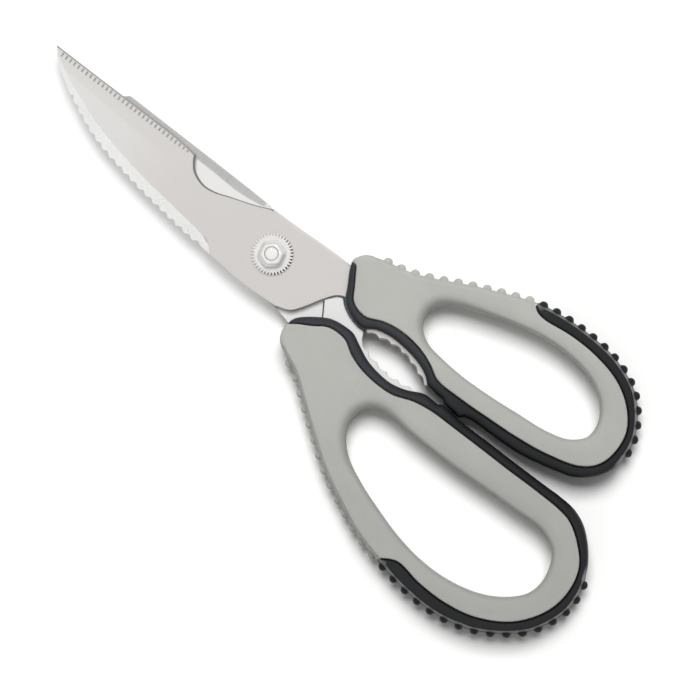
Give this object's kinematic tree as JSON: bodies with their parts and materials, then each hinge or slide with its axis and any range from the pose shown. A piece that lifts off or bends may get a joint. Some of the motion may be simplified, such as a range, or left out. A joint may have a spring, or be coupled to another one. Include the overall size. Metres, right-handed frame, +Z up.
{
  "type": "fish and game shears",
  "caption": "Heavy kitchen shears with a bone notch, a scalloped scaling edge, a toothed gap between the handles and two-tone ribbed grip loops.",
  "frame": {"origin": "middle of the closed shears' footprint, on the surface they lie on", "axes": "+X from the blade tips to the finger loop, +Y towards the thumb loop, +Z up out of the face with the pivot nut"},
  "size_m": [0.2408, 0.1012, 0.015],
  "materials": {
    "blade_steel": "fine brushed stainless, ground edges brighter",
    "bright_steel": "polished",
    "dark_core": "satin blue-black",
    "grey_grip": "matt warm grey"
  },
  "bodies": {
    "finger_half": {"rear_blade": "blade_steel", "finger_handle_core": "dark_core", "finger_handle_grip": "grey_grip"},
    "thumb_half": {"front_blade": "blade_steel", "thumb_handle_core": "dark_core", "thumb_handle_grip": "grey_grip", "pivot_bolt": "bright_steel", "pivot_nut": "bright_steel", "toothed_lock_washer": "bright_steel", "rear_washer": "bright_steel"}
  },
  "joints": [
    {"name": "pivot", "type": "hinge", "parent": "finger_half", "child": "thumb_half", "pos_m": [-0.02528, -0.00308, 0.0075], "axis": [0, 0, 1], "range_deg": [0, 50]}
  ]
}
